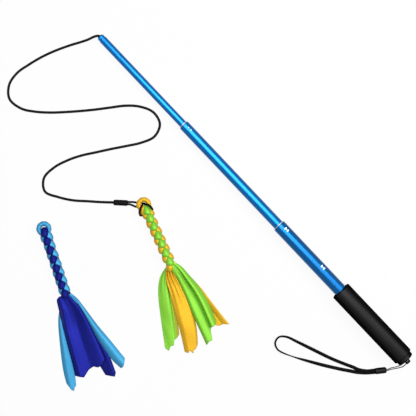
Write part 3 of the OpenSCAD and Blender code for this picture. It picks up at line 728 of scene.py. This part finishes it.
class FLIRTPOLE_OT_lanyard(bpy.types.Operator):
    """Lay the wrist lanyard: string, sleeve and strap"""
    bl_idname = "flirtpole.lanyard"
    bl_label = "Wrist lanyard"

    def execute(self, context):
        pole = context.scene.flirt_pole
        cords = pole.cords
        black = cords.black
        radius, nose, rim = CUFF_D / 2 + SOFT_GAP / 3, 2.8, 0.9
        outline = [(0, 0), *arc(radius - nose, nose, nose, 180, 90),
                   *arc(radius - rim, CUFF_LENGTH - rim, rim, 90, 0), (0, CUFF_LENGTH)]
        sleeve = spun("lanyard_cuff", outline, towards(CUFF_START, CUFF_WAY),
                      plastic_look("cuff_plastic", pole.finish.plastic))
        stands_for(sleeve, "lanyard", "black_plastic", "lanyard_sleeve")
        line = route(string_points(cords.string), step=0.0008)
        made = swept("lanyard_cord", line, braid_look("string_sheath", black, around=4, along=90),
                     cords.string)
        stands_for(made, "lanyard", "black_cord", "lanyard_string")
        self.strap(cords, webbing_look("strap_webbing", black, along=420))
        return {"FINISHED"}

    def strap(self, cords, material):
        """The strap: webbing with bevelled edges, swept along its tilting middle line."""
        width, thickness = cords.strap_width, cords.strap_thickness
        x, y, edge = thickness / 2, width / 2, thickness * 0.3
        data = bpy.data.curves.new("strap_profile", "CURVE")
        spline = data.splines.new("POLY")
        one_side = [(x - edge, y), (x, y - edge), (x, edge - y), (x - edge, -y)]
        corners = one_side + [(-a, -b) for a, b in one_side]
        spline.points.add(len(corners) - 1)
        for point, corner in zip(spline.points, corners):
            point.co = (*corner, 0, 1)
        spline.use_cyclic_u = True
        profile = placed("strap_profile", data)
        line = route(strap_points(width, thickness), step=0.002)
        tilts = [place.w / MM for place in line]
        line = [place.to_3d() for place in line]
        made = swept("wrist_webbing", line, material, profile=profile, tilts=tilts)
        bpy.data.objects.remove(profile)
        stands_for(made, "lanyard", "black_cord", "wrist_strap")


# Each tube's look, its tone and the places of its marks along and across; the tones paint light on one
# anodised colour: the outer tube darker as painted shade towards the grip, the tip tube and the ferrule
# lighter as painted highlight
TUBES = {"outer_tube": ("anodised_outer_painted_shade", 0.76, [(112, -4.5), (190, -4)]),
         "middle_tube": ("anodised_middle", 1, [(399, -4)]),
         "tip_tube": ("anodised_tip_painted_light", 1.06, []),
         "tip_ferrule": ("anodised_ferrule_painted_highlight", 1.4, [])}


class FLIRTPOLE_OT_tubes(bpy.types.Operator):
    """Finish the tubes, mouth rings, shims, ferrule and grommet"""
    bl_idname = "flirtpole.tubes"
    bl_label = "Tubes"

    def execute(self, context):
        finish = context.scene.flirt_pole.finish
        blue, white = finish.tube, tuple(finish.mark)
        # Each tube gets its painted light or shade as a tone of the same blue
        for node, (name, tone, marks) in TUBES.items():
            dress(anodised_look(name, shade(blue, tone), white, marks), node)
        dress(turned_metal_look("ring_metal", finish.ring), "outer_mouth_ring", "middle_mouth_ring")
        dress(plastic_look("shim_plastic", finish.shim, rough=0.5), "middle_shims", "tip_shims")
        black = finish.plastic
        dress(plastic_look("grommet_rubber", black, rough=0.6), "tip_grommet")
        dress(plastic_look("knot_yarn", black, rough=0.7), "stopper_knot")
        return {"FINISHED"}


class FLIRTPOLE_OT_grip(bpy.types.Operator):
    """Make the foam grip and finish the end cap"""
    bl_idname = "flirtpole.grip"
    bl_label = "Grip"

    def execute(self, context):
        finish = context.scene.flirt_pole.finish
        half, outer, inner, edge, straight = 68, 15.5, 10.02, 1.6, 20
        outline = [(inner, -half), *arc(outer - edge, edge - half, edge, 180, 90), (outer, -straight),
                   (outer, straight), *arc(outer - edge, half - edge, edge, 90, 0), (inner, half)]
        made = spun("grip_foam", outline, POLE, foam_look("grip_foam", finish.foam), steps=96)
        stands_for(made, "handle", "grip_foam", "foam_grip")
        dress(plastic_look("cap_plastic", finish.plastic), "end_cap")
        return {"FINISHED"}


# Cloth of the lures: turns, roundness, least thickness and swell of an eye's folds
FOLD_TURNS, FOLD_ROUND, FOLD_LEAST, FOLD_SWELL = 4.5, 0.6, 0.90, 0.13
# Number, slant and depth of an eye's creases
EYE_CREASES, EYE_SLANT, EYE_CREASE = 27, 5, 0.024


def eye_ring(name, place, material, body, slot, node):
    """The eye: a ring of cloth wound round itself in slanted turns."""
    bm = bmesh.new()
    upright = Matrix.Translation((EYE_R, 0, 0)) @ Matrix.Rotation(math.pi / 2, 4, "X")
    bmesh.ops.create_circle(bm, segments=28, radius=EYE_D / 2, matrix=upright)
    bmesh.ops.spin(bm, geom=bm.verts[:] + bm.edges[:], cent=(0, 0, 0), axis=(0, 0, 1),
                   angle=2 * math.pi, steps=120, use_merge=True)
    uv = bm.loops.layers.uv.new("UVMap")
    for vert in bm.verts:
        way = math.atan2(vert.co.y, vert.co.x)
        middle = Vector((EYE_R * math.cos(way), EYE_R * math.sin(way), 0))
        out = vert.co - middle
        turn = math.atan2(out.z, math.hypot(vert.co.x, vert.co.y) - EYE_R)
        fold = abs(math.sin(FOLD_TURNS * way + turn)) ** FOLD_ROUND
        crease = EYE_CREASE * math.cos(EYE_CREASES * way + EYE_SLANT * turn)
        vert.co = middle + out * (FOLD_LEAST + FOLD_SWELL * fold + crease)
        vert.co.z += EYE_H
        for loop in vert.link_loops:
            loop[uv].uv = (0.5 + 0.5 * math.sin(turn / 2), 4 * abs(way) / math.pi)
    stands_for(from_bmesh(name, bm, material, place), body, slot, node)


# A plait's radius and how far its bumps stand out, beside the eye further
PLAIT_R, SWELL, NECK_SWELL = 8.3, 0.4, 1.2
# Each strand's side in degrees, before the plait's roll
SIDES = {"right": 0, "front": 90, "left": 180, "back": 270}
# Turn in degrees and drift of the bumps, with their steps from bump to bump
SWAY, SWAY_STEP, DRIFT, DRIFT_STEP = 4, 2.1, 0.35, 1.7
# Depth, closeness, waver and middle share of a bump's creases
CREASE, CREASE_CLOSE, CREASE_WAVER, CREASE_MIDDLE = 0.16, 9, 1.5, 0.35
# A bump's fullness, its bend round the plait and its least height
FULLNESS, BEND, BUMP_LOW = 0.85, 2.4, 0.1
# A bump's half length, width and height, squareness, turn in degrees and tuck
PAD = {"length": 7.7, "width": 6.1, "height": 4.3, "square": 3.2, "turn": -22, "tuck": 2.0}
LOBE = {"length": 7.8, "width": 5.8, "height": 4.8, "square": 2.5, "turn": 0, "tuck": 1.7}


def plait_strand(name, place, side, centres, bump, material, body, slot, node):
    """One column of a plait: a row of puffed bumps, each tucked under the one before it and flattened
    where it lies on the floor. Its side is 0 to the right and 90 on top."""
    bm = bmesh.new()
    uv = bm.loops.layers.uv.new("UVMap")
    angle = math.radians(side)
    out = Vector((0, math.cos(angle), math.sin(angle)))
    tangent = Vector((0, math.sin(angle), -math.cos(angle)))
    for number, centre in enumerate(centres):
        turn = math.radians(bump["turn"] + SWAY * math.sin(SWAY_STEP * number))
        drift = DRIFT * math.sin(DRIFT_STEP * number + side)
        reach_out = PLAIT_R + (NECK_SWELL if number == 0 and bump is LOBE else SWELL)
        for vert in bmesh.ops.create_uvsphere(bm, u_segments=36, v_segments=20, radius=1)["verts"]:
            x, y, z = vert.co
            for loop in vert.link_loops:
                loop[uv].uv = (0.5 + y / 2, 0.5 + x / 2)
            way = math.atan2(y, x)
            n = bump["square"]
            reach = math.hypot(x, y) / (abs(math.cos(way)) ** n + abs(math.sin(way)) ** n) ** (1 / n)
            run = reach * math.cos(way)
            across = reach * math.sin(way)
            waver = CREASE_WAVER * math.sin(2 * run + number)
            crease = CREASE * math.cos(CREASE_CLOSE * across + waver) * (CREASE_MIDDLE + abs(run))
            lift = bump["height"] * math.copysign(abs(z) ** FULLNESS, z)
            lift += crease * max(z, 0) + bump["tuck"] * run
            run *= bump["length"]
            across *= bump["width"]
            run, across = (run * math.cos(turn) - across * math.sin(turn),
                           run * math.sin(turn) + across * math.cos(turn) + drift)
            lift -= across * across / (BEND * PLAIT_R)
            spot = Vector((centre + run, 0, EYE_H))
            vert.co = spot + out * (reach_out - bump["height"] + lift) + tangent * across
            vert.co.z = max(vert.co.z, BUMP_LOW)
    stands_for(from_bmesh(name, bm, material, place), body, slot, node)


def between(centres):
    """Places half way between bumps."""
    return [(a + b) / 2 for a, b in zip(centres, centres[1:])]


def ease(x):
    """Rises smoothly from 0 at 0 to 1 at 1."""
    x = min(max(x, 0.0), 1.0)
    return x * x * (3 - 2 * x)


def span(points, v):
    """The values on either side of a share of the width, and how far between them it lies."""
    for (v0, a), (v1, b) in zip(points, points[1:]):
        if v <= v1:
            return a, b, (v - v0) / (v1 - v0)
    return points[-1][1], points[-1][1], 0.0


def cut_at(cut, v):
    """How far the cut end stands out at a share of the width; it starts and ends at 0."""
    a, b, t = span([(0, 0), *cut, (1, 0)], v)
    return a + (b - a) * t


def fold_height(folds, s, v, soft):
    """Height of the folds at shares of length and width: round at the ridges, and sharp in the valleys
    unless the folds are soft."""
    lines = [(at[0] + (at[-1] - at[0]) * s, h0 + (h1 - h0) * s) for *at, h0, h1 in folds]
    a, b, t = span(lines, v)
    quarter = math.pi / 2 * t
    sharp = math.sin(quarter) if b > a else 1 - math.cos(quarter)
    return a + (b - a) * (ease(t) if soft else sharp)


# Steps along a tail's edges
EDGE_STEPS = 60
# Usual depth, number, rise and fading of the gathers at a tail's root; fading of its cut
GATHER, GATHERS, GATHER_RISE, GATHER_FADE, CUT_FADE = 0.5, 3.5, 12, 4, 7
# Height, length, width and rise of a tail's ripples, and its least height
RIPPLE, RIPPLE_LENGTH, RIPPLE_WIDTH, RIPPLE_RISE, TAIL_LOW = 0.8, 45, 15, 3, 0.65
# Share of the width over which the reverse comes in, and a place past the edge for tails without one
REVERSE_EDGE, NO_REVERSE = 0.06, 2


def cloth_tail(name, place, tail, cloth, material, body, slot, node):
    """A strip of cloth between a left and a right edge that leaves the plait at a root height, settles
    within a share of its length and lies in folds. A fold line is its share of the width, or its shares
    at the root and at the end, and its heights at both; the cut is how far the end stands out at shares
    of the width; the reverse shows right of a share of the width; gather is the depth of the gathers at
    the root. The entry flat, the strip's width and length in metres when spread out, is not used."""
    left, right = (evenly(smooth_line([Vector(p) for p in tail[side]], steps=10), EDGE_STEPS + 1)
                   for side in ("left", "right"))
    bm = bmesh.new()
    uv = bm.loops.layers.uv.new("UVMap")
    back = bm.verts.layers.float.new("reverse")
    bmesh.ops.create_grid(bm, x_segments=cloth.rows, y_segments=cloth.columns, size=0.5)
    for face in bm.faces:
        for loop in face.loops:
            loop[uv].uv = (loop.vert.co.y + 0.5, loop.vert.co.x + 0.5)
    own_ripples = tail["root"] * 3 + len(name)
    for vert in bm.verts:
        s, v = vert.co.x + 0.5, vert.co.y + 0.5
        k = min(int(s * EDGE_STEPS), EDGE_STEPS - 1)
        start, end = (edge[k].lerp(edge[k + 1], s * EDGE_STEPS - k) for edge in (left, right))
        flat = start.lerp(end, v)
        flat.x += cut_at(tail["cut"], v) * s ** CUT_FADE
        lie = fold_height(tail["folds"], s, v, tail.get("soft"))
        height = lie + (tail["root"] - lie) * max(0.0, 1 - s / tail["settle"]) ** 2
        gather = tail.get("gather", GATHER) * math.cos(2 * math.pi * GATHERS * v)
        height += gather * (1 - s) ** GATHER_FADE * ease(s * GATHER_RISE)
        ripple = noise.noise(Vector((flat.x / RIPPLE_LENGTH, flat.y / RIPPLE_WIDTH, own_ripples)))
        height = max(height + RIPPLE * ripple * ease(s * RIPPLE_RISE), TAIL_LOW)
        # Where the reverse shows, the cloth takes its reverse colour, which is partly painted shade
        vert[back] = ease((v - tail.get("reverse", NO_REVERSE)) / REVERSE_EDGE)
        vert.co = place @ Vector((flat.x, flat.y, height))
    made = from_bmesh(name, bm, material)
    thick = made.modifiers.new("thickness", "SOLIDIFY")
    thick.thickness = cloth.thickness
    thick.offset = 0
    rounded = made.modifiers.new("rounding", "SUBSURF")
    rounded.levels = 1
    rounded.render_levels = 1
    stands_for(made, body, slot, node)


def lay_lure(prefix, place, roll, body, eye_tone, strands, tails, looks, plaited, cloth):
    """A lure: its eye, the strands of its plait, rolled by some degrees, and its tails."""
    eye_ring(prefix + "_ring", place, looks[eye_tone], body, eye_tone + "_cloth", prefix + "_eye")
    for name, (centres, bump, tone) in strands.items():
        plait_strand(f"{prefix}_strand_{name}", place, SIDES[name] + roll, centres, bump, plaited[tone],
                     body, tone + "_cloth", f"{prefix}_plait_{name}")
    for name, tail in tails.items():
        tone = tail["tone"]
        cloth_tail(f"{prefix}_strip_{name}", place, tail, cloth, looks[tone], body, tone + "_cloth",
                   f"{prefix}_tail_{name}")


# Places of the bumps along the plaits, and the plaits' rolls in degrees
LURE_BUMPS = [9.3, 21.7, 35, 50.1, 63.2, 78.7, 92.6]
LURE_NECK, LURE_SIDE, LURE_LAST = 6.8, 13.5, 101
LURE_ROLL, SPARE_ROLL = -13, 6
LURE_TAILS = {
    "under": {
        "left": [(97, 1), (120, 6), (160, 12), (209, 21)],
        "right": [(97, 7), (118, 14), (145.7, 25.6), (180, 33.5), (217.9, 43)],
        "cut": [(0.3, 2), (0.6, -1)],
        "tone": "yellow", "root": 4, "settle": 0.4, "flat": (0.019, 0.120),
        "folds": [(0, 0.7, 0.7), (0.55, 0.9, 0.9), (1, 3.6, 4)]},
    # The left tail's right flap shows its reverse, darkened as painted shade under the middle tail
    "left": {
        "left": [(97, -4), (104.6, -17.5), (113.7, -26.6), (132.1, -36.6), (165.1, -47.5), (210.2, -60.7)],
        "right": [(97, 0), (112, -8), (133, -13), (150, -17.5), (170, -22.5), (200, -32)],
        "cut": [(0.13, 8), (0.3, 4.5), (0.51, 6.8), (0.62, 1.2), (0.8, 2)],
        "tone": "green", "root": 6, "settle": 0.35, "flat": (0.028, 0.122), "reverse": 0.74,
        "folds": [(0, 0.8, 0.8), (0.62, 4.6, 3.4), (0.74, 0.8, 0.9), (1, 0.7, 0.7)]},
    "middle": {
        "left": [(97, -5), (113.9, -15.1), (143, -20.1), (188.9, -27.9), (228.1, -35.9)],
        "right": [(97, 1), (114.8, 0.5), (138.9, 2.5), (166.4, 2), (200.2, -4), (225.3, -13.1)],
        "cut": [(0.2, 4), (0.35, 2), (0.5, 8.5), (0.58, 5), (0.8, 4)],
        "tone": "yellow", "root": 9, "settle": 0.5, "flat": (0.029, 0.135), "gather": 2.2,
        "folds": [(0, 6, 0.9), (0.34, 0.3, 7.6, 4.8), (0.74, 0.78, 6.8, 4.6), (1, 1, 0.8)]},
    "right": {
        "left": [(97, -3), (110, -2), (124.1, 0), (144.6, -0.3), (181.9, -1.6), (232.2, -1.5)],
        "right": [(97, 6), (106.9, 12.8), (126.1, 18.9), (147, 25), (170.5, 27.6), (207.1, 26.5)],
        "cut": [(0.2, 1.5), (0.42, 6.5), (0.5, -3), (0.62, -6.5), (0.8, -2)],
        "tone": "green", "root": 12, "settle": 0.5, "flat": (0.036, 0.128),
        "folds": [(0, 4, 3.4), (0.18, 9, 7.5), (0.58, 2.2, 2.2), (0.7, 11, 9.5), (1, 3, 2.8)]},
}
SPARE_BUMPS = [5.5, 18.5, 32.8, 47.1, 61.3, 74.3, 87.7, 101.5]
SPARE_TAILS = {
    # The back tail shows its reverse all over, a darker navy that is painted shade under the other tails
    "back": {
        "left": [(105, 0), (150, 4), (200, 9), (239, 17.5)],
        "right": [(105, 6), (140, 16), (175, 25), (207.5, 32.1), (240.5, 33.7)],
        "cut": [(0.4, 3), (0.8, 5.5)],
        "tone": "navy", "root": 4, "settle": 0.4, "flat": (0.020, 0.138), "reverse": -1,
        "folds": [(0, 0.8, 0.8), (0.75, 1.8, 2.4), (1, 0.8, 0.8)]},
    "left": {
        "left": [(105, -5), (124.4, -17.5), (148.1, -27), (204, -39.5), (232, -42.4)],
        "right": [(105, -2), (118, -10), (141, -16), (183.6, -21), (223.9, -26), (240.5, -29.7)],
        "cut": [(0.35, 9), (0.6, 9.5), (0.85, 2)],
        "tone": "sky", "root": 6, "settle": 0.4, "flat": (0.016, 0.140),
        "folds": [(0, 0.8, 0.8), (0.4, 4.5, 3.8), (1, 0.8, 0.8)]},
    "right": {
        "left": [(105, 3), (117.8, 7.1), (130.6, 11.2), (163.8, 17.9), (213.7, 31.6), (236.5, 42.9)],
        "right": [(105, 8.5), (115, 14), (126.4, 18), (162.2, 29.6), (195.2, 42.6), (224.2, 53.4)],
        "cut": [(0.4, 4), (0.7, 3.5)],
        "tone": "sky", "root": 8, "settle": 0.5, "flat": (0.016, 0.135),
        "folds": [(0, 0.9, 0.9), (0.6, 5.5, 4.6), (1, 0.9, 0.9)]},
    "front": {
        "left": [(104, -9), (107, -15), (114, -16.5), (130, -18.5), (159, -22.8), (225.8, -26.3)],
        "right": [(104, 3), (110, 7), (117.8, 9.5), (127.8, 14), (149.4, 18.6), (180.7, 22.9),
                  (214.8, 25.7)],
        "cut": [(0.25, 8.5), (0.36, 5), (0.44, 2.2), (0.6, 1.5), (0.72, 6.5), (0.86, 6)],
        "tone": "navy", "root": 13, "settle": 0.5, "flat": (0.053, 0.122), "soft": True,
        "folds": [(0, 2.4, 1.4), (0.24, 0.16, 11, 8.5), (0.6, 0.5, 6, 4.2), (0.95, 10.5, 8), (1, 6, 5)]},
}


# Share of green and of yellow in the green tail's reverse, low so that it is also darker as painted shade;
# the navy back's and the navy plait's tones, which are painted shade, and the gleam of the navy cloth
OLIVE_MIX_AND_SHADE = 0.3125
NAVY_BACK_SHADE, NAVY_PLAIT_SHADE, NAVY_GLEAM = 0.6, 0.8, 0.75


class FLIRTPOLE_OT_lure(bpy.types.Operator):
    """Plait the lure on the line and lay its tails"""
    bl_idname = "flirtpole.lure"
    bl_label = "Lure"

    def execute(self, context):
        cloth = context.scene.flirt_pole.cloth
        # The green tail's reverse is a green-yellow mix darkened as painted shade
        olive_reverse_and_shade = tuple((a + b) * OLIVE_MIX_AND_SHADE for a, b in zip(cloth.green, cloth.yellow))
        looks = {"green": cloth_look("green_cloth", cloth.green, back=olive_reverse_and_shade),
                 "yellow": cloth_look("yellow_cloth", cloth.yellow)}
        sides = [LURE_SIDE, *between(LURE_BUMPS)[1:]]
        strands = {"back": (LURE_BUMPS[1:], PAD, "green"),
                   "left": ([LURE_NECK, *sides, LURE_LAST], LOBE, "yellow"),
                   "right": (sides, LOBE, "yellow"), "front": (LURE_BUMPS, PAD, "green")}
        lay_lure("lure", LURE, LURE_ROLL, "lure", "yellow", strands, LURE_TAILS, looks, looks, cloth)
        return {"FINISHED"}


class FLIRTPOLE_OT_spare_lure(bpy.types.Operator):
    """Plait the spare lure and lay its tails"""
    bl_idname = "flirtpole.spare_lure"
    bl_label = "Spare lure"

    def execute(self, context):
        cloth = context.scene.flirt_pole.cloth
        # The navy back tail's reverse is a darker copy of the navy, painted shade
        looks = {"navy": cloth_look("navy_cloth", cloth.navy, back=shade(cloth.navy, NAVY_BACK_SHADE),
                                    gleam=NAVY_GLEAM, rough=0.38),
                 "sky": cloth_look("sky_cloth", cloth.sky)}
        # The plait's navy is a darker copy of the tail cloth, painted shade
        plaited = {**looks, "navy": cloth_look("navy_plait_painted_shade", shade(cloth.navy, NAVY_PLAIT_SHADE),
                                               gleam=NAVY_GLEAM, rough=0.52)}
        sides = between(SPARE_BUMPS)
        strands = {"back": (SPARE_BUMPS[1:], PAD, "navy"), "left": (sides, LOBE, "sky"),
                   "right": (sides, LOBE, "sky"), "front": (SPARE_BUMPS, PAD, "navy")}
        lay_lure("spare", SPARE, SPARE_ROLL, "spare_lure", "sky", strands, SPARE_TAILS, looks, plaited,
                 cloth)
        return {"FINISHED"}


STEPS = ("stage", "line", "lanyard", "tubes", "grip", "lure", "spare_lure")


class FLIRTPOLE_PT_panel(bpy.types.Panel):
    """The steps that make the flirt pole, in their order"""
    bl_idname = "FLIRTPOLE_PT_panel"
    bl_label = "Flirt pole"
    bl_space_type = "VIEW_3D"
    bl_region_type = "UI"
    bl_category = "Flirt pole"

    def draw(self, context):
        for step in STEPS:
            self.layout.operator("flirtpole." + step)


CLASSES = (PoleFinish, CordSizes, LureCloth, Studio, FlirtPole, FLIRTPOLE_OT_stage, FLIRTPOLE_OT_line,
           FLIRTPOLE_OT_lanyard, FLIRTPOLE_OT_tubes, FLIRTPOLE_OT_grip, FLIRTPOLE_OT_lure,
           FLIRTPOLE_OT_spare_lure, FLIRTPOLE_PT_panel)


def register():
    for made in CLASSES:
        bpy.utils.register_class(made)
    bpy.types.Scene.flirt_pole = PointerProperty(type=FlirtPole)


def unregister():
    del bpy.types.Scene.flirt_pole
    for made in reversed(CLASSES):
        bpy.utils.unregister_class(made)


def main():
    register()
    for step in STEPS:
        getattr(bpy.ops.flirtpole, step)()


if __name__ == "__main__":
    main()
